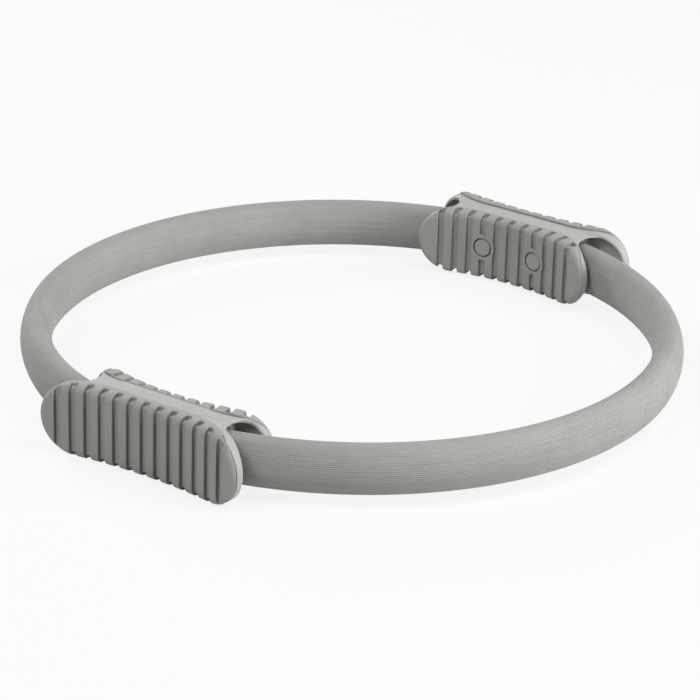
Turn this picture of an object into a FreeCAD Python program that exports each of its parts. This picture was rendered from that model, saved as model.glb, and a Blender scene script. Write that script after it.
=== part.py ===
import FreeCAD, Part
import math
import os

V = FreeCAD.Vector
Y_AXIS = V(0, 1, 0)
Z_AXIS = V(0, 0, 1)
ORIGIN = V(0, 0, 0)

# Exercise ring lying flat: origin at the ring's centre, Z along the ring's axis, the two handles on
# the Y axis (front handle at -Y, rear handle at +Y). All sizes in millimetres.

# Hoop: two thin spring leaves, one inside the other, in each half of the ring
hoop_radius = 181.0
leaf_thickness = 2.0
leaf_height = 22.0
leaf_clearance = 0.2
leaf_end_gap = 1.0

# Foam sleeve over the leaves, an upright oval that ends inside the handles
sleeve_width = 18.0
sleeve_height = 29.0
sleeve_tip_radius = 7.0
sleeve_end = 40.0
sleeve_clearance = 0.3

# Outer plate of a handle, hollowed towards the hand
outer_stand = 9.2
outer_face_radius = 290.0
outer_half_length = 68.0
outer_half_height = 21.6
outer_wall = 12.2
outer_back_radius = 162.0
outer_round = 5.0
outer_strip = 8.6
outer_corner = 40.0
outer_groove_margin = 3.6
outer_grooves = 13

# Inner plate of a handle, bent the same way as the hoop
inner_stand = 18.4
inner_face_radius = 152.0
inner_half_length = 61.0
inner_half_height = 20.5
inner_wall = 4.4
inner_back_radius = 166.0
inner_round = 4.0
inner_strip = 6.9
inner_corner = 34.0
inner_groove_margin = 0.9
inner_grooves = 11

# Ribbed grips: a skin over each plate's face and a flange over its top and bottom
grip_skin = 3.0
grip_flange = 3.2
grip_clearance = 0.1
flange_over = 1.5
groove_pitch = 9.25
groove_width = 3.8
groove_floor = 0.7
groove_flange_floor = 0.5

# Hard shells: hollow-backed wings behind the grips and a web between them, split along the hoop
wing_inset = 0.4
wing_round_share = 0.42
web_step = 1.2
web_flat = 22.0
web_fall_radius = 180.0
notch_reach = 19.0
notch_overlap = 0.2
pocket_rim = 3.0
pocket_end_rim = 2.0
pocket_floor = 2.2
mouth_gap = 2.0
mouth_depth = 4.5
parting_gap = 0.1

# Screws from the inner side, and the plugs over their heads
plug_grooves = 2
plug_diameter = 10.8
plug_length = 4.5
plug_recess = 0.3
plug_ring_gap = 0.7
plug_collar = 2.1
plug_seat = 0.2
screw_diameter = 4.0
screw_head_diameter = 7.6
screw_head_height = 2.6
screw_tip_wall = 0.8
screw_clearance = 0.2

# Worked out from the sizes above
stack_half = leaf_thickness + leaf_clearance / 2
leaf_room = stack_half + leaf_clearance
sleeve_angle = math.degrees(math.asin(sleeve_end / hoop_radius))
web_half_height = outer_half_height - web_step
notch_place = sleeve_end + notch_reach
grip_depth = grip_skin + outer_wall
tall = 2 * outer_half_height
inside = hoop_radius / 2
beyond = hoop_radius * 3 / 2


class Plate:
    """One plate of a handle: its curved face and back, its outline, and the plan of its flange."""

    def __init__(self, outward, stand, radius, wall, back_radius):
        self.outward = outward
        self.radius = radius
        self.back_radius = back_radius
        self.face = hoop_radius + outward * stand
        self.centre = self.face + outward * radius
        self.back_centre = self.face + outward * (back_radius - grip_skin - wall)

    def outline(self, half_length, half_height):
        self.half_length = half_length
        self.half_height = half_height
        front = self.radius + grip_skin
        face_edge = self.centre - self.outward * math.sqrt(front ** 2 - half_length ** 2)
        back_edge = self.back_centre - self.outward * math.sqrt(self.back_radius ** 2 - half_length ** 2)
        self.wing_round = wing_round_share * abs(face_edge - back_edge)

    def flange(self, edge_round, strip, corner):
        self.edge_round = edge_round
        self.crease = self.face - self.outward * strip
        self.corner = corner

    def ribs(self, grooves, margin):
        self.grooves = grooves
        self.groove_margin = margin


outer = Plate(1, outer_stand, outer_face_radius, outer_wall, outer_back_radius)
outer.outline(outer_half_length, outer_half_height)
outer.flange(outer_round, outer_strip, outer_corner)
outer.ribs(outer_grooves, outer_groove_margin)
inner = Plate(-1, inner_stand, inner_face_radius, inner_wall, inner_back_radius)
inner.outline(inner_half_length, inner_half_height)
inner.flange(inner_round, inner_strip, inner_corner)
inner.ribs(inner_grooves, inner_groove_margin)


def line(start, end):
    return Part.LineSegment(start, end).toShape()


def arc(start, middle, end):
    return Part.Arc(start, middle, end).toShape()


def upright(radius, x=0.0, y=0.0):
    return Part.makeCylinder(radius, 2 * tall, V(x, y, -tall), Z_AXIS)


def band(low, high, half_height):
    ring = Part.makeCylinder(high, 2 * half_height, V(0, 0, -half_height), Z_AXIS)
    return ring.cut(Part.makeCylinder(low, 2 * half_height, V(0, 0, -half_height), Z_AXIS))


def rod(diameter, start, end):
    return Part.makeCylinder(diameter / 2, end - start, V(0, start, 0), Y_AXIS)


def stadium(half_length, half_height):
    """A prism along Y over the handle, with a straight top and bottom and round ends."""
    flat = half_length - half_height
    top_left = V(-flat, inside, half_height)
    top_right = V(flat, inside, half_height)
    low_right = V(flat, inside, -half_height)
    low_left = V(-flat, inside, -half_height)
    edges = [
        line(top_left, top_right),
        arc(top_right, V(half_length, inside, 0), low_right),
        line(low_right, low_left),
        arc(low_left, V(-half_length, inside, 0), top_left),
    ]
    return Part.Face(Part.Wire(edges)).extrude(V(0, beyond - inside, 0))


def layer(plate, near, far):
    """The part of a plate between two depths behind its face."""
    thick = upright(plate.radius + far, 0, plate.centre)
    return thick.cut(upright(plate.radius + near, 0, plate.centre))


def flange_plan(plate, clearance=0.0):
    """Plan of a grip's flange as a tall prism: straight along its crease, with round corners."""
    half = plate.half_length + flange_over + clearance
    corner = plate.corner + clearance
    edge = plate.crease - plate.outward * clearance
    far = beyond if plate is outer else inside
    side = edge + plate.outward * corner
    turn = corner * (1 - math.sqrt(0.5))
    bend = edge + plate.outward * turn
    edges = [
        line(V(-half, far, -tall), V(half, far, -tall)),
        line(V(half, far, -tall), V(half, side, -tall)),
        arc(V(half, side, -tall), V(half - turn, bend, -tall), V(half - corner, edge, -tall)),
        line(V(half - corner, edge, -tall), V(corner - half, edge, -tall)),
        arc(V(corner - half, edge, -tall), V(turn - half, bend, -tall), V(-half, side, -tall)),
        line(V(-half, side, -tall), V(-half, far, -tall)),
    ]
    return Part.Face(Part.Wire(edges)).extrude(V(0, 0, 2 * tall))


def plug_angle():
    """Angle at the ring's centre between the middle of a handle and a plug."""
    turn = plug_grooves * groove_pitch / inner.radius
    along = inner.radius * math.sin(turn)
    return math.degrees(math.atan2(along, inner.centre + inner.radius * math.cos(turn)))


def face_on_axis(plate):
    """Distance from the ring's centre to a plate's face, along a screw axis."""
    turn = math.radians(plug_angle())
    reach = math.sqrt(plate.radius ** 2 - (plate.centre * math.sin(turn)) ** 2)
    return plate.centre * math.cos(turn) - plate.outward * reach


plug_start = face_on_axis(inner) + plug_recess
plug_end = plug_start + plug_length
head_start = plug_end + plug_seat
head_end = head_start + screw_head_height
screw_end = face_on_axis(outer) - grip_skin - grip_clearance - screw_tip_wall - screw_clearance


def on_screw_axis(shape, side):
    """Turn a shape made along +Y to one of the two screw axes of the rear handle."""
    turned = shape.copy()
    turned.rotate(ORIGIN, Z_AXIS, -side * plug_angle())
    return turned


def half_turn(shape):
    turned = shape.copy()
    turned.rotate(ORIGIN, Z_AXIS, 180)
    return turned


def make_leaf(side, low):
    start = leaf_end_gap / 2 if side > 0 else -leaf_end_gap / 2 - beyond
    half = Part.makeBox(beyond, 2 * beyond, 2 * tall, V(start, -beyond, -tall))
    leaf = band(low, low + leaf_thickness, leaf_height / 2).common(half)
    hole = rod(screw_diameter + 2 * screw_clearance, inside, beyond)
    return leaf.cut(on_screw_axis(hole, side)).cut(half_turn(on_screw_axis(hole, -side)))


def oval_face(grow):
    """Section of the sleeve at the hoop line: two tip arcs and two flatter side arcs."""
    half_width = sleeve_width / 2 + grow
    half_height = sleeve_height / 2 + grow
    tip = sleeve_tip_radius + grow
    rise = half_height - tip
    side = (half_width ** 2 + rise ** 2 - tip ** 2) / (2 * (half_width - tip))
    lean = math.atan2(rise, side - half_width)
    join = side * math.cos(lean) - side + half_width
    high = side * math.sin(lean)
    out = hoop_radius + join
    back = hoop_radius - join
    edges = [
        arc(V(out, 0, -high), V(hoop_radius + half_width, 0, 0), V(out, 0, high)),
        arc(V(out, 0, high), V(hoop_radius, 0, half_height), V(back, 0, high)),
        arc(V(back, 0, high), V(hoop_radius - half_width, 0, 0), V(back, 0, -high)),
        arc(V(back, 0, -high), V(hoop_radius, 0, -half_height), V(out, 0, -high)),
    ]
    return Part.Face(Part.Wire(edges))


def oval_run(grow, start_angle, sweep):
    run = oval_face(grow)
    run.rotate(ORIGIN, Z_AXIS, start_angle)
    return run.revolve(ORIGIN, Z_AXIS, sweep)


def leaves_room():
    """Space for the leaves, all around the ring."""
    return band(hoop_radius - leaf_room, hoop_radius + leaf_room, leaf_height / 2 + leaf_clearance)


def make_sleeve(side):
    start = sleeve_angle - 90 if side > 0 else sleeve_angle + 90
    return oval_run(0, start, 180 - 2 * sleeve_angle).cut(leaves_room())


def rim_edges(solid, radius):
    """Edges around the curved face of a solid that has the given radius."""
    found = []
    for face in solid.Faces:
        surface = face.Surface
        if isinstance(surface, Part.Cylinder) and abs(surface.Radius - radius) < 0.01:
            found += face.Edges
    return found


def make_wings(plate):
    """The hard plate behind a grip, with a rounded back edge."""
    wings = upright(plate.back_radius, 0, plate.back_centre)
    wings = wings.cut(upright(plate.radius + grip_skin, 0, plate.centre))
    wings = wings.common(stadium(plate.half_length - wing_inset, web_half_height))
    return wings.makeFillet(plate.wing_round, rim_edges(wings, plate.back_radius))


def notch_circle():
    """Place and radius of the round notch that runs into the backs of both wings."""
    low = inner.face
    high = outer.face
    while high - low > 1e-6:
        place = (low + high) / 2
        to_outer = math.hypot(notch_place, outer.back_centre - place) - outer.back_radius
        to_inner = math.hypot(notch_place, inner.back_centre - place) - inner.back_radius
        if to_outer > to_inner:
            low = place
        else:
            high = place
    return place, to_outer


def web_plan():
    """Plan of the web as a tall prism: between both grips, with a round notch at each end."""
    place, radius = notch_circle()
    reach = min(notch_place * plate.back_radius / (plate.back_radius + radius) for plate in (outer, inner))
    plan = Part.makeBox(2 * reach, beyond - inside, 2 * tall, V(-reach, inside, -tall))
    for plate in (outer, inner):
        plan = plan.cut(upright(plate.radius + grip_skin, 0, plate.centre))
    for side in (-1, 1):
        plan = plan.cut(upright(radius + notch_overlap, side * notch_place, place))
    return plan


def mouth_start():
    """Distance from the middle of a handle to where the wide mouths for the sleeves begin."""
    return notch_place - notch_circle()[1] - mouth_depth


def pockets(plate):
    """The hollows in the backs of a plate's wings, from under the ends of the web outwards."""
    inset = wing_inset + pocket_end_rim
    room = stadium(plate.half_length - inset, web_half_height - pocket_rim)
    room = room.common(layer(plate, grip_skin + pocket_floor, outer_stand + inner_stand))
    start = mouth_start()
    middle = Part.makeBox(2 * start, beyond - inside, 2 * tall, V(-start, inside, -tall))
    return room.cut(middle)


def web_top(along):
    """Half height of the web at a place along the handle, beyond its flat middle."""
    return web_half_height - web_fall_radius + math.sqrt(web_fall_radius ** 2 - (along - web_flat) ** 2)


def web_side():
    """Side view of the web as a prism along Y: flat in the middle, falling towards the ends."""
    middle = (web_flat + notch_place) / 2
    corners = [(web_flat, web_half_height), (middle, web_top(middle)), (notch_place, web_top(notch_place))]
    right_top = [V(x, inside, z) for x, z in corners]
    right_low = [V(x, inside, -z) for x, z in corners]
    left_top = [V(-x, inside, z) for x, z in corners]
    left_low = [V(-x, inside, -z) for x, z in corners]
    edges = [
        line(left_top[0], right_top[0]),
        arc(*right_top),
        line(right_top[2], right_low[2]),
        arc(*reversed(right_low)),
        line(right_low[0], left_low[0]),
        arc(*left_low),
        line(left_low[2], left_top[2]),
        arc(*reversed(left_top)),
    ]
    return Part.Face(Part.Wire(edges)).extrude(V(0, beyond - inside, 0))


def groove_slots(plate):
    """All grooves of a plate as upright slots square to its face."""
    end = plate.face - plate.outward * grip_depth
    front = plate.face + plate.outward * groove_width
    slots = []
    for index in range(plate.grooves):
        corner = V(-groove_width / 2, min(end, front), -tall)
        slot = Part.makeBox(groove_width, abs(front - end), 2 * tall, corner)
        place = index - (plate.grooves - 1) / 2
        slot.rotate(V(0, plate.centre, 0), Z_AXIS, math.degrees(place * groove_pitch / plate.radius))
        slots.append(slot)
    return slots[0].fuse(slots[1:])


def groove_channels(plate):
    """What the grooves take from a grip: slots over its face that end short of the flange's border."""
    face_depth = grip_skin - groove_floor
    side_depth = grip_flange - groove_flange_floor
    core = layer(plate, face_depth, grip_depth + groove_width)
    core = core.common(stadium(plate.half_length - side_depth, plate.half_height - side_depth))
    reach = layer(plate, -groove_width, face_depth).fuse(flange_plan(plate, -plate.groove_margin))
    channels = groove_slots(plate).common(reach).cut(core)
    if plate is inner:
        land = rod(plug_diameter + 2 * plug_ring_gap + 2 * plug_collar, inside, beyond)
        for side in (-1, 1):
            channels = channels.cut(on_screw_axis(land, side))
    return channels


def make_grip(plate, wings, plan):
    cap = layer(plate, 0, grip_depth).common(stadium(plate.half_length, plate.half_height))
    cap = cap.makeFillet(plate.edge_round, rim_edges(cap, plate.radius))
    skin = cap.common(layer(plate, 0, grip_skin))
    flange = cap.cut(stadium(plate.half_length - grip_flange, plate.half_height - grip_flange))
    flange = flange.common(flange_plan(plate)).common(wings.fuse(plan))
    grip = skin.fuse(flange).removeSplitter().cut(groove_channels(plate))
    if plate is inner:
        hole = rod(plug_diameter + 2 * plug_ring_gap, inside, hoop_radius)
        for side in (-1, 1):
            grip = grip.cut(on_screw_axis(hole, side))
    return grip


def grip_room(plate):
    """Space that a shell leaves free for its grip."""
    skin = layer(plate, -outer_wall, grip_skin + grip_clearance)
    inset = grip_flange + grip_clearance
    around = flange_plan(plate, grip_clearance)
    around = around.cut(stadium(plate.half_length - inset, plate.half_height - inset))
    return skin.fuse(around)


def sleeve_room(grow, start):
    """Space around both sleeves, from an angle off the middle of the handle to beyond its ends."""
    sweep = 2 * sleeve_angle
    right = oval_run(grow, 90 - start - sweep, sweep)
    return right.fuse(oval_run(grow, 90 + start, sweep))


def hoop_room():
    """Space for the leaves and the sleeve ends inside a handle, wider where the sleeves come in."""
    tight = sleeve_room(sleeve_clearance, sleeve_angle - math.degrees(sleeve_clearance / hoop_radius))
    mouth = sleeve_room(mouth_gap, math.degrees(math.asin(mouth_start() / hoop_radius)))
    return leaves_room().fuse([tight, mouth])


def screw_room():
    """Stepped hole for a plug and its screw, with a tight blind end for the screw's thread."""
    hole = rod(plug_diameter + 2 * screw_clearance, inside, plug_end)
    hole = hole.fuse(rod(screw_head_diameter + 2 * screw_clearance, inside, head_end))
    hole = hole.fuse(rod(screw_diameter + 2 * screw_clearance, head_end, hoop_radius + leaf_room))
    return hole.fuse(rod(screw_diameter + screw_clearance, hoop_radius, screw_end + screw_clearance))


def make_shell(plate, wings, web):
    body = wings.fuse(web.common(stadium(plate.half_length - wing_inset, web_half_height)))
    if plate is outer:
        body = body.cut(upright(hoop_radius + parting_gap / 2))
    else:
        body = body.common(upright(hoop_radius - parting_gap / 2))
    shell = body.removeSplitter().cut(grip_room(plate)).cut(hoop_room()).cut(pockets(plate))
    for side in (-1, 1):
        shell = shell.cut(on_screw_axis(screw_room(), side))
    return shell


def make_screw():
    head = rod(screw_head_diameter, head_start, head_end)
    return head.fuse(rod(screw_diameter, head_end, screw_end)).removeSplitter()


def make_handle():
    """The rear handle's pieces by name."""
    plan = web_plan()
    web = plan.common(web_side())
    pieces = {}
    for plate, name in ((outer, "outer"), (inner, "inner")):
        wings = make_wings(plate)
        pieces[name + "_shell"] = make_shell(plate, wings, web)
        pieces[name + "_grip"] = make_grip(plate, wings, plan)
    for side, name in ((-1, "left"), (1, "right")):
        pieces[name + "_screw"] = on_screw_axis(make_screw(), side)
        pieces[name + "_plug"] = on_screw_axis(rod(plug_diameter, plug_start, plug_end), side)
    return pieces


def swap_sides(name):
    if name.startswith("left"):
        return name.replace("left", "right")
    return name.replace("right", "left")


def main():
    nodes = {}
    for side, name in ((-1, "left"), (1, "right")):
        nodes[name + "_inner_leaf"] = make_leaf(side, hoop_radius - stack_half)
        nodes[name + "_outer_leaf"] = make_leaf(side, hoop_radius + stack_half - leaf_thickness)
        nodes[name + "_sleeve"] = make_sleeve(side)
    for name, shape in make_handle().items():
        nodes["rear_" + name] = shape
        nodes["front_" + swap_sides(name)] = half_turn(shape)
    os.makedirs("parts", exist_ok=True)
    for name, shape in nodes.items():
        shape.exportStep("parts/" + name + ".step")


main()
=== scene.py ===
import math

import bpy
import numpy as np
from mathutils import Matrix, Vector


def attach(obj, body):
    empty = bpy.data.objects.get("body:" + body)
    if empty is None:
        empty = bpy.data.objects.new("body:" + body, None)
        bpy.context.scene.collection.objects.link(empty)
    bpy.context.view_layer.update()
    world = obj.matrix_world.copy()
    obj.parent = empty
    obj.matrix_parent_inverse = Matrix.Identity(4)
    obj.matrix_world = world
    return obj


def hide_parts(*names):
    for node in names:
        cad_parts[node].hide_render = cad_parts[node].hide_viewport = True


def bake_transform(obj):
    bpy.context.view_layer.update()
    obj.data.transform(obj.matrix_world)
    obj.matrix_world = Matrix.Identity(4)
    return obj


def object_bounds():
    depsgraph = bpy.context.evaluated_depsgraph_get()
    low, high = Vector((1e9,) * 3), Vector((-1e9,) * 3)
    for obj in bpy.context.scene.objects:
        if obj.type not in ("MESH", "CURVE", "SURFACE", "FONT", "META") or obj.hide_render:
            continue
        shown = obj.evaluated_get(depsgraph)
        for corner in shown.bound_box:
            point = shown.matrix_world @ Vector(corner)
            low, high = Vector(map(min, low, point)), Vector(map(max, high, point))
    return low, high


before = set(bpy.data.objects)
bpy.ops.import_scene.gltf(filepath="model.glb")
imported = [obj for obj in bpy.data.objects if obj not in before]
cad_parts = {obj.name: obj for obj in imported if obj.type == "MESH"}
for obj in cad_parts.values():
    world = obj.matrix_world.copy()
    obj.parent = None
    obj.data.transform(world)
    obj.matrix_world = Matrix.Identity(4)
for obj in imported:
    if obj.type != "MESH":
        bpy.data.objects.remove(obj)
cad_low, cad_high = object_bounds()

FRONT = "front_handle_and_hoop"
REAR = "rear_handle"

# Sizes in metres, as in the part's source
HOOP_RADIUS = 0.181
SLEEVE_WIDTH = 0.018
SLEEVE_HEIGHT = 0.029
SLEEVE_TIP_RADIUS = 0.007
SLEEVE_END = 0.040
OUTER_STAND = 0.0092
OUTER_FACE_RADIUS = 0.290
INNER_STAND = 0.0184
INNER_FACE_RADIUS = 0.152
GRIP_HALF_LENGTH = {"outer": 0.068, "inner": 0.061}

# Distance from the ring's centre to the axis of each grip's curved face
FACE_AXIS = {
    "outer": HOOP_RADIUS + OUTER_STAND + OUTER_FACE_RADIUS,
    "inner": HOOP_RADIUS - INNER_STAND - INNER_FACE_RADIUS,
}

# Fine ridges along the sleeve, which differ in depth and waver along their length
RIDGE_PITCH = 0.00120
RIDGE_DEPTH = 0.00023
RIDGE_POINTS = 6
RIDGE_ROUNDNESS = 0.7
LEAST_DEPTH_SHARE = 0.75
DEPTH_SPREAD = 0.5
WAVER_SHARE = 0.25
LEAST_WAVES = 2
WAVES_SPREAD = 3
RING_STEP = 0.004
SLEEVE_SEED = {"right": 3, "left": 8}

# Moulded edges of the grips and shells
GRIP_VOXEL = 0.00036
GRIP_PASSES = 4
SHELL_VOXEL = 0.00045
SHELL_PASSES = 7
RELAX_STEP = 0.5
KEPT_FACES = 0.4
PARTING_BAND = 0.0012
PARTING_SHARP_SHARE = 0.6
PARTING_REACH = 0.00025

# How strongly painted shade darkens the groove sides of each grip, and the length of a grip's plain end
WALL_SHADE = {"outer": 1.0, "inner": 0.6}
END_LENGTH = 0.008

# A plug's front edge: share of its radius, and depth below its front
PLUG_EDGE = [(0, 0.00012), (0.62, 0.0001), (0.84, 0.00004), (0.93, 0.00012), (0.985, 0.0004), (1, 0.0009)]
PLUG_STEPS = 64
WELD_REACH = 1e-6

# Colours
FOAM_GREY = (0.358, 0.362, 0.339)
RUBBER_GREY = (0.350, 0.356, 0.330)
SHELL_GREY = (0.410, 0.413, 0.397)
WHITE = (1, 1, 1)
FLOOR_LEVEL = 0.7

# Studio: places in metres, powers in watts
FLOOR_HALF_SIZE = 6
FLOOR_ROUGHNESS = 0.9
FLOOR_WHITE_SHARE = 0.85
WORLD_LEVEL = 0.01
LAMP_SIZE = 0.8
LAMPS = (
    ("front_softbox", (-0.15, -1.28, 1.53), 17),
    ("high_softbox", (0.94, 0.0, 1.77), 18),
    ("right_softbox", (1.67, 0.6, 0.52), 27),
    ("left_softbox", (-1.76, 0.45, 0.82), 22),
)

# The camera's place in degrees and metres, how it is turned in radians, and its lens in millimetres
CAMERA_AZIMUTH = 35.3
CAMERA_ELEVATION = 22.843
CAMERA_DISTANCE = 1.8684
CAMERA_OFFSET = (0, -0.0012, 0)
CAMERA_ROLL = -0.0273
CAMERA_TILT = 0.0046
CAMERA_PAN = -0.0002
CAMERA_LENS = 167.18
CAMERA_SENSOR = 36


def new_object(name, data):
    piece = bpy.data.objects.new(name, data)
    bpy.context.scene.collection.objects.link(piece)
    return piece


def shade_smooth(mesh):
    mesh.polygons.foreach_set("use_smooth", np.ones(len(mesh.polygons), bool))
    mesh.update()


def applied(piece):
    """The piece's mesh with its modifiers applied."""
    graph = bpy.context.evaluated_depsgraph_get()
    mesh = bpy.data.meshes.new_from_object(piece.evaluated_get(graph))
    piece.modifiers.clear()
    piece.data = mesh
    return mesh


def band_faces(rows, count):
    """Four-sided faces between closed rows of points."""
    faces = []
    for row in range(rows - 1):
        low = row * count
        for index in range(count):
            after = (index + 1) % count
            faces.append((low + index, low + after, low + count + after, low + count + index))
    return faces


# Sleeves

def oval_arcs():
    """The four arcs of the sleeve's section: centre, radius, start and sweep."""
    half_width = SLEEVE_WIDTH / 2
    tip = SLEEVE_TIP_RADIUS
    rise = SLEEVE_HEIGHT / 2 - tip
    side = (half_width ** 2 + rise ** 2 - tip ** 2) / (2 * (half_width - tip))
    lean = math.atan2(rise, side - half_width)
    return [
        (half_width - side, 0, side, -lean, 2 * lean),
        (0, rise, tip, lean, math.pi - 2 * lean),
        (side - half_width, 0, side, math.pi - lean, 2 * lean),
        (0, -rise, tip, math.pi + lean, math.pi - 2 * lean),
    ]


def oval_outline():
    """Points and outward directions around the sleeve's section, evenly spaced, a few to each ridge."""
    arcs = oval_arcs()
    lengths = [radius * sweep for _, _, radius, _, sweep in arcs]
    ridges = round(sum(lengths) / RIDGE_PITCH)
    points = []
    for index in range(ridges * RIDGE_POINTS):
        along = index / (ridges * RIDGE_POINTS) * sum(lengths)
        for (x, z, radius, start, sweep), length in zip(arcs, lengths):
            if along <= length:
                break
            along -= length
        turn = start + along / radius
        out_x = math.cos(turn)
        out_z = math.sin(turn)
        points.append((x + radius * out_x, z + radius * out_z, out_x, out_z))
    return np.array(points), ridges


def ridge_depths(ridges, rings, seed):
    """How far each point of each ring lies below the sleeve's outline: rounded ridges, a little uneven."""
    random = np.random.RandomState(seed)
    phase = np.arange(RIDGE_POINTS) / RIDGE_POINTS
    profile = 1 - np.abs(np.sin(math.pi * phase)) ** RIDGE_ROUNDNESS
    depth = RIDGE_DEPTH * (LEAST_DEPTH_SHARE + DEPTH_SPREAD * random.rand(ridges))
    start = random.rand(ridges) * 2 * math.pi
    waves = LEAST_WAVES + WAVES_SPREAD * random.rand(ridges)
    along = np.linspace(0, 1, rings)[:, None]
    uneven = 1 + WAVER_SHARE * np.sin(start + 2 * math.pi * along * waves)
    return (uneven[:, :, None] * depth[None, :, None] * profile[None, None, :]).reshape(rings, -1)


def make_sleeve(name, start, seed):
    outline, ridges = oval_outline()
    hidden = math.asin(SLEEVE_END / HOOP_RADIUS)
    sweep = math.pi - 2 * hidden
    rings = round(sweep * HOOP_RADIUS / RING_STEP) + 1
    sunk = ridge_depths(ridges, rings, seed)
    turns = start + hidden + np.linspace(0, sweep, rings)
    out = HOOP_RADIUS + outline[None, :, 0] - sunk * outline[None, :, 2]
    high = outline[None, :, 1] - sunk * outline[None, :, 3]
    points = np.stack([out * np.cos(turns)[:, None], out * np.sin(turns)[:, None], high], axis=2)
    count = len(outline)
    faces = [face[::-1] for face in band_faces(rings, count)]
    faces.append(tuple(range(count)))
    faces.append(tuple(reversed(range((rings - 1) * count, rings * count))))
    mesh = bpy.data.meshes.new(name)
    mesh.from_pydata(points.reshape(-1, 3).tolist(), [], faces)
    shade_smooth(mesh)
    groove = mesh.attributes.new("groove", "FLOAT", "POINT")
    groove.data.foreach_set("value", (sunk / RIDGE_DEPTH).astype(np.float32).ravel())
    return new_object(name, mesh)


# Moulded pieces

def read_vectors(vertices, kind):
    values = np.zeros(len(vertices) * 3)
    vertices.foreach_get(kind, values)
    return values.reshape(-1, 3)


def read_edges(mesh):
    edges = np.zeros(len(mesh.edges) * 2, np.int64)
    mesh.edges.foreach_get("vertices", edges)
    return edges[0::2], edges[1::2]


def relax(mesh, passes, weight):
    """Rounds a mesh by moving each point towards its neighbours, as far as its weight lets it."""
    points = read_vectors(mesh.vertices, "co")
    count = len(points)
    start, end = read_edges(mesh)
    first = np.concatenate([start, end])
    second = np.concatenate([end, start])
    neighbours = np.maximum(np.bincount(first, minlength=count), 1)
    share = weight(points)
    for _ in range(passes):
        for axis in range(3):
            mean = np.bincount(first, points[second, axis], count) / neighbours
            points[:, axis] += RELAX_STEP * share * (mean - points[:, axis])
    mesh.vertices.foreach_set("co", points.ravel())
    mesh.update()


def everywhere(points):
    return np.ones(len(points))


def off_parting(points):
    """Leaves the edges along the parting line of the two shells sharp."""
    away = np.abs(np.hypot(points[:, 0], points[:, 1]) - HOOP_RADIUS)
    return np.clip(away / PARTING_BAND - PARTING_SHARP_SHARE, 0, 1)


def close_parting(mesh):
    """Brings the faces where the two shells meet right together, so that the joint hardly shows."""
    points = read_vectors(mesh.vertices, "co")
    out = np.hypot(points[:, 0], points[:, 1])
    near = np.abs(out - HOOP_RADIUS) < PARTING_REACH
    points[near, :2] *= (HOOP_RADIUS / out[near])[:, None]
    mesh.vertices.foreach_set("co", points.ravel())
    start, end = read_edges(mesh)
    mesh.edges.foreach_set("use_edge_sharp", near[start] & near[end])
    mesh.update()


def moulded(node, voxel, passes, weight):
    """A copy of a CAD node with soft moulded edges."""
    piece = new_object(node + "_moulded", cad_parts[node].data.copy())
    piece.data.materials.clear()
    remesh = piece.modifiers.new("remesh", "REMESH")
    remesh.mode = "VOXEL"
    remesh.voxel_size = voxel
    relax(applied(piece), passes, weight)
    thin = piece.modifiers.new("thin", "DECIMATE")
    thin.ratio = KEPT_FACES
    shade_smooth(applied(piece))
    return piece


def mark_painted_wall_shade(mesh, layer):
    """Marks the sides of a grip's grooves for painted shade, which darkens them against the ribs."""
    points = read_vectors(mesh.vertices, "co")
    normals = read_vectors(mesh.vertices, "normal")
    out = points[:, :2] - np.array([0, FACE_AXIS[layer]])
    out /= np.linalg.norm(out, axis=1)[:, None]
    across = np.abs(normals[:, 0] * out[:, 1] - normals[:, 1] * out[:, 0])
    ribbed = np.abs(points[:, 0]) < GRIP_HALF_LENGTH[layer] - END_LENGTH
    painted_wall_mask = mesh.attributes.new("painted_wall_mask", "FLOAT", "POINT")
    painted_wall_mask.data.foreach_set("value", (WALL_SHADE[layer] * across * ribbed).astype(np.float32))


def make_grip(layer):
    grip = moulded("rear_" + layer + "_grip", GRIP_VOXEL, GRIP_PASSES, everywhere)
    mark_painted_wall_shade(grip.data, layer)
    return grip


def make_shell(layer):
    shell = moulded("rear_" + layer + "_shell", SHELL_VOXEL, SHELL_PASSES, off_parting)
    close_parting(shell.data)
    return shell


def half_turned(piece, name):
    mesh = piece.data.copy()
    mesh.transform(Matrix.Rotation(math.pi, 4, "Z"))
    return new_object(name, mesh)


def make_plug(node):
    """A plug with a rounded front edge, on the place and axis of its CAD node."""
    points = np.array([v.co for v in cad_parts[node].data.vertices])
    axis = points.mean(axis=0)
    axis /= np.linalg.norm(axis)
    along = points @ axis
    start = along.min()
    length = along.max() - start
    radius = np.linalg.norm(points - along[:, None] * axis, axis=1).max()
    profile = [(share * radius, depth) for share, depth in PLUG_EDGE] + [(radius, length), (0, length)]
    up = np.array((0, 0, 1))
    across = np.cross(axis, up)
    vertices = []
    for out, depth in profile:
        for step in range(PLUG_STEPS):
            turn = 2 * math.pi * step / PLUG_STEPS
            side = math.cos(turn) * across + math.sin(turn) * up
            vertices.append((axis * (start + depth) + side * out).tolist())
    mesh = bpy.data.meshes.new(node + "_rounded")
    mesh.from_pydata(vertices, [], band_faces(len(profile), PLUG_STEPS))
    shade_smooth(mesh)
    piece = new_object(node + "_rounded", mesh)
    piece.modifiers.new("weld", "WELD").merge_threshold = WELD_REACH
    applied(piece)
    return piece


# Materials

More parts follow.
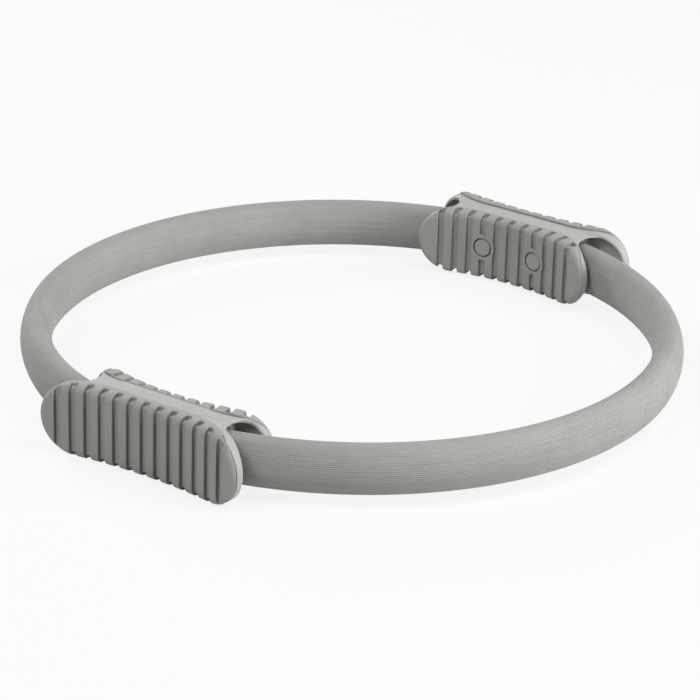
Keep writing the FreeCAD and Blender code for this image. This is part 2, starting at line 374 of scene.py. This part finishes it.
class Nodes:
    """A material's node tree, with short ways to add nodes."""

    def __init__(self, name):
        self.material = bpy.data.materials.new(name)
        self.material.use_nodes = True
        self.tree = self.material.node_tree
        self.shader = self.tree.nodes["Principled BSDF"]
        self.place = self.tree.nodes.new("ShaderNodeTexCoord").outputs["Object"]

    def link(self, source, target):
        self.tree.links.new(source, target)

    def noise(self, scale, detail, stretch=None):
        node = self.tree.nodes.new("ShaderNodeTexNoise")
        node.inputs["Scale"].default_value = scale
        node.inputs["Detail"].default_value = detail
        if stretch is None:
            self.link(self.place, node.inputs["Vector"])
        else:
            mapping = self.tree.nodes.new("ShaderNodeMapping")
            mapping.inputs["Scale"].default_value = stretch
            self.link(self.place, mapping.inputs["Vector"])
            self.link(mapping.outputs["Vector"], node.inputs["Vector"])
        return node.outputs["Fac"]

    def ramp(self, source, low, high, first, last):
        """The first colour where the source is low, running to the last where it is high."""
        node = self.tree.nodes.new("ShaderNodeValToRGB")
        node.color_ramp.elements[0].position = low
        node.color_ramp.elements[1].position = high
        node.color_ramp.elements[0].color = (*first, 1)
        node.color_ramp.elements[1].color = (*last, 1)
        self.link(source, node.inputs["Fac"])
        return node.outputs["Color"]

    def multiply(self, first, second):
        node = self.tree.nodes.new("ShaderNodeMix")
        node.data_type = "RGBA"
        node.blend_type = "MULTIPLY"
        node.inputs["Factor"].default_value = 1
        self.link(first, node.inputs["A"])
        self.link(second, node.inputs["B"])
        return node.outputs["Result"]

    def span(self, source, low, high):
        node = self.tree.nodes.new("ShaderNodeMapRange")
        node.inputs["To Min"].default_value = low
        node.inputs["To Max"].default_value = high
        self.link(source, node.inputs["Value"])
        return node.outputs["Result"]

    def bump(self, source, strength, distance, before=None):
        node = self.tree.nodes.new("ShaderNodeBump")
        node.inputs["Strength"].default_value = strength
        node.inputs["Distance"].default_value = distance
        self.link(source, node.inputs["Height"])
        if before is not None:
            self.link(before, node.inputs["Normal"])
        return node.outputs["Normal"]

    def attribute(self, name):
        node = self.tree.nodes.new("ShaderNodeAttribute")
        node.attribute_name = name
        return node.outputs["Fac"]

    def pointiness(self):
        return self.tree.nodes.new("ShaderNodeNewGeometry").outputs["Pointiness"]

    def finish(self, colour, roughness, normal, specular):
        self.link(colour, self.shader.inputs["Base Color"])
        self.link(roughness, self.shader.inputs["Roughness"])
        self.link(normal, self.shader.inputs["Normal"])
        self.shader.inputs["Specular IOR Level"].default_value = specular
        return self.material


def grey(level):
    return (level, level, level)


def shades(colour, spread):
    return [c * (1 - spread) for c in colour], [c * (1 + spread) for c in colour]


def foam_material():
    """Matt foam: fine cells, faint blotches, and painted shade that darkens the colour in the hollows between
    the ridges.
    """
    nodes = Nodes("sleeve_foam")
    blotch = nodes.ramp(nodes.noise(scale=60, detail=4), 0.3, 0.7, *shades(FOAM_GREY, spread=0.04))
    cells = nodes.ramp(nodes.noise(scale=2200, detail=2), 0.25, 0.75, grey(0.93), WHITE)
    # Painted shade: the foam's colour is darkened by the depth of each hollow between the ridges.
    painted_valley_shade = nodes.ramp(nodes.attribute("groove"), 0.1, 1, WHITE, grey(0.88))
    colour = nodes.multiply(nodes.multiply(blotch, cells), painted_valley_shade)
    rough = nodes.span(nodes.noise(scale=300, detail=3), low=0.72, high=0.9)
    coarse = nodes.bump(nodes.noise(scale=500, detail=3), strength=0.25, distance=0.0004)
    fine = nodes.bump(nodes.noise(scale=2600, detail=3), strength=0.4, distance=0.00015, before=coarse)
    return nodes.finish(colour, rough, fine, specular=0.12)


def rubber_material():
    """Soft moulded rubber: fine even grain, faint handling marks, and painted shade that darkens the groove
    sides and the concave corners.
    """
    nodes = Nodes("grip_rubber")
    blotch = nodes.ramp(nodes.noise(scale=45, detail=4), 0.3, 0.7, *shades(RUBBER_GREY, spread=0.04))
    grain = nodes.ramp(nodes.noise(scale=1800, detail=2), 0.3, 0.7, grey(0.93), WHITE)
    # Painted shade: concave corners are darkened in the colour.
    corners = nodes.ramp(nodes.pointiness(), 0.44, 0.5, grey(0.8), WHITE)
    # Painted shade: the sides of the grooves are darkened in the colour.
    painted_wall_shade = nodes.ramp(nodes.attribute("painted_wall_mask"), 0.3, 0.85, WHITE, grey(0.6))
    colour = nodes.multiply(nodes.multiply(nodes.multiply(blotch, grain), corners), painted_wall_shade)
    rough = nodes.span(nodes.noise(scale=200, detail=4), low=0.5, high=0.68)
    coarse = nodes.bump(nodes.noise(scale=260, detail=2), strength=0.12, distance=0.0004)
    fine = nodes.bump(nodes.noise(scale=2400, detail=2), strength=0.22, distance=0.0001, before=coarse)
    return nodes.finish(colour, rough, fine, specular=0.15)


def plastic_material(name, colour, low_rough, high_rough):
    """Satin moulded plastic: a fine spark-eroded grain and faint flow marks."""
    nodes = Nodes(name)
    marks = nodes.noise(scale=30, detail=3, stretch=(1, 3, 6))
    flow = nodes.ramp(marks, 0.3, 0.7, *shades(colour, spread=0.03))
    grain = nodes.ramp(nodes.noise(scale=2600, detail=2), 0.3, 0.7, grey(0.96), WHITE)
    rough = nodes.span(nodes.noise(scale=160, detail=4), low_rough, high_rough)
    normal = nodes.bump(nodes.noise(scale=2600, detail=2), strength=0.15, distance=0.00008)
    return nodes.finish(nodes.multiply(flow, grain), rough, normal, specular=0.25)


def strip_material():
    """Glass-fibre strip: fibres along the ring under a glossy resin."""
    nodes = Nodes("spring_strip")
    threads = nodes.noise(scale=90, detail=5, stretch=(1, 1, 30))
    colour = nodes.ramp(threads, 0.3, 0.75, (0.012, 0.012, 0.013), grey(0.05))
    rough = nodes.span(nodes.noise(scale=400, detail=2), low=0.22, high=0.4)
    fine = nodes.noise(scale=700, detail=3, stretch=(1, 1, 20))
    normal = nodes.bump(fine, strength=0.2, distance=0.0001)
    return nodes.finish(colour, rough, normal, specular=0.5)


def steel_material():
    """Plain steel with fine turning marks."""
    nodes = Nodes("screw_steel")
    marks = nodes.noise(scale=900, detail=4, stretch=(1, 8, 1))
    colour = nodes.ramp(marks, 0.3, 0.7, grey(0.42), (0.56, 0.56, 0.55))
    nodes.shader.inputs["Metallic"].default_value = 1
    rough = nodes.span(marks, low=0.25, high=0.45)
    normal = nodes.bump(marks, strength=0.15, distance=0.0001)
    return nodes.finish(colour, rough, normal, specular=0.5)


def wear(piece, material):
    piece.data.materials.clear()
    piece.data.materials.append(material)


# The object

def dress_hoop():
    """The sleeves and the leaves inside them, between the two handles."""
    foam = foam_material()
    strip = strip_material()
    for side, start in (("right", -math.pi / 2), ("left", math.pi / 2)):
        sleeve = make_sleeve(side + "_sleeve_ridged", start, SLEEVE_SEED[side])
        wear(sleeve, foam)
        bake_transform(sleeve)
        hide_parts(side + "_sleeve")
        for layer in ("inner", "outer"):
            node = side + "_" + layer + "_leaf"
            leaf = new_object(node + "_sprung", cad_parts[node].data.copy())
            wear(leaf, strip)
            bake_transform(leaf)
            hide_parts(node)


def dress_handles():
    """The grips and shells: made for the rear handle, and turned half round for the front one."""
    rubber = rubber_material()
    plastic = plastic_material("shell_plastic", SHELL_GREY, low_rough=0.38, high_rough=0.52)
    for layer in ("outer", "inner"):
        for kind, make, material, slot in (
            ("grip", make_grip, rubber, "grip_rubber"),
            ("shell", make_shell, plastic, "shell_plastic"),
        ):
            node = layer + "_" + kind
            rear = make(layer)
            front = half_turned(rear, "front_" + node + "_moulded")
            for piece, body, end in ((rear, REAR, "rear_"), (front, FRONT, "front_")):
                wear(piece, material)
                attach(piece, body)
                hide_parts(end + node)


def dress_fasteners():
    """The plugs, and the screws under them, which keep their CAD shape."""
    plug_plastic = plastic_material("plug_plastic", RUBBER_GREY, low_rough=0.42, high_rough=0.56)
    steel = steel_material()
    for end, body in (("front", FRONT), ("rear", REAR)):
        for side in ("left", "right"):
            node = end + "_" + side + "_plug"
            plug = make_plug(node)
            wear(plug, plug_plastic)
            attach(plug, body)
            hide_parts(node)
            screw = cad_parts[end + "_" + side + "_screw"]
            screw.data.materials.clear()
            screw.data.materials.append(steel)


# Studio

def background_rays(tree):
    """1 where the background is looked at: straight, in a reflection or through something clear."""
    paths = tree.nodes.new("ShaderNodeLightPath")
    seen = paths.outputs["Is Camera Ray"]
    for kind in ("Is Glossy Ray", "Is Transmission Ray"):
        node = tree.nodes.new("ShaderNodeMath")
        node.operation = "MAXIMUM"
        tree.links.new(seen, node.inputs[0])
        tree.links.new(paths.outputs[kind], node.inputs[1])
        seen = node.outputs[0]
    return seen


def floor_material():
    """A pale matt surface that reads as white and keeps a soft shadow."""
    material = bpy.data.materials.new("floor")
    material.use_nodes = True
    tree = material.node_tree
    shader = tree.nodes["Principled BSDF"]
    shader.inputs["Base Color"].default_value = (*grey(FLOOR_LEVEL), 1)
    shader.inputs["Roughness"].default_value = FLOOR_ROUGHNESS
    white = tree.nodes.new("ShaderNodeEmission")
    share = tree.nodes.new("ShaderNodeMath")
    share.operation = "MULTIPLY"
    share.inputs[1].default_value = FLOOR_WHITE_SHARE
    mix = tree.nodes.new("ShaderNodeMixShader")
    tree.links.new(background_rays(tree), share.inputs[0])
    tree.links.new(share.outputs[0], mix.inputs["Fac"])
    tree.links.new(shader.outputs[0], mix.inputs[1])
    tree.links.new(white.outputs[0], mix.inputs[2])
    tree.links.new(mix.outputs[0], tree.nodes["Material Output"].inputs["Surface"])
    return material


def make_floor():
    size = FLOOR_HALF_SIZE
    mesh = bpy.data.meshes.new("floor")
    corners = [(-size, -size, 0), (size, -size, 0), (size, size, 0), (-size, size, 0)]
    mesh.from_pydata(corners, [], [(0, 1, 2, 3)])
    mesh.materials.append(floor_material())
    floor = new_object("floor", mesh)
    floor.location.z = cad_low.z


def make_world():
    """Faint even light, with a background that is seen as white."""
    world = bpy.data.worlds.new("studio")
    world.use_nodes = True
    tree = world.node_tree
    light = tree.nodes["Background"]
    light.inputs["Color"].default_value = (*WHITE, 1)
    light.inputs["Strength"].default_value = WORLD_LEVEL
    seen = tree.nodes.new("ShaderNodeBackground")
    seen.inputs["Strength"].default_value = 1
    seen.inputs["Color"].default_value = (*WHITE, 1)
    mix = tree.nodes.new("ShaderNodeMixShader")
    tree.links.new(background_rays(tree), mix.inputs["Fac"])
    tree.links.new(light.outputs[0], mix.inputs[1])
    tree.links.new(seen.outputs[0], mix.inputs[2])
    tree.links.new(mix.outputs[0], tree.nodes["World Output"].inputs["Surface"])
    bpy.context.scene.world = world


def make_lamp(name, place, power):
    lamp = bpy.data.lights.new(name, "AREA")
    lamp.energy = power
    lamp.size = LAMP_SIZE
    lit = new_object(name, lamp)
    lit.location = place
    lit.rotation_euler = (-Vector(place)).to_track_quat("-Z", "Y").to_euler()


def make_camera():
    """The photograph's view: a long lens, a little turned in the frame."""
    azimuth = math.radians(CAMERA_AZIMUTH)
    elevation = math.radians(CAMERA_ELEVATION)
    level_share = math.cos(elevation)
    towards = Vector((math.sin(azimuth) * level_share, -math.cos(azimuth) * level_share, math.sin(elevation)))
    place = CAMERA_DISTANCE * towards
    ahead = -place.normalized()
    right = Vector((math.cos(azimuth), math.sin(azimuth), 0))
    level = Matrix((right, right.cross(ahead), -ahead))
    turn = Matrix.Rotation(CAMERA_ROLL, 3, "Z") @ Matrix.Rotation(CAMERA_TILT, 3, "X")
    turn = turn @ Matrix.Rotation(CAMERA_PAN, 3, "Y")
    pose = (turn @ level).transposed().to_4x4()
    pose.translation = place + Vector(CAMERA_OFFSET)
    data = bpy.data.cameras.new("camera")
    data.lens = CAMERA_LENS
    data.sensor_width = CAMERA_SENSOR
    camera = new_object("camera", data)
    camera.matrix_world = pose
    bpy.context.scene.camera = camera


dress_hoop()
dress_handles()
dress_fasteners()
make_floor()
make_world()
for lamp_name, lamp_place, lamp_power in LAMPS:
    make_lamp(lamp_name, lamp_place, lamp_power)
make_camera()
bpy.context.scene.view_settings.view_transform = "Standard"
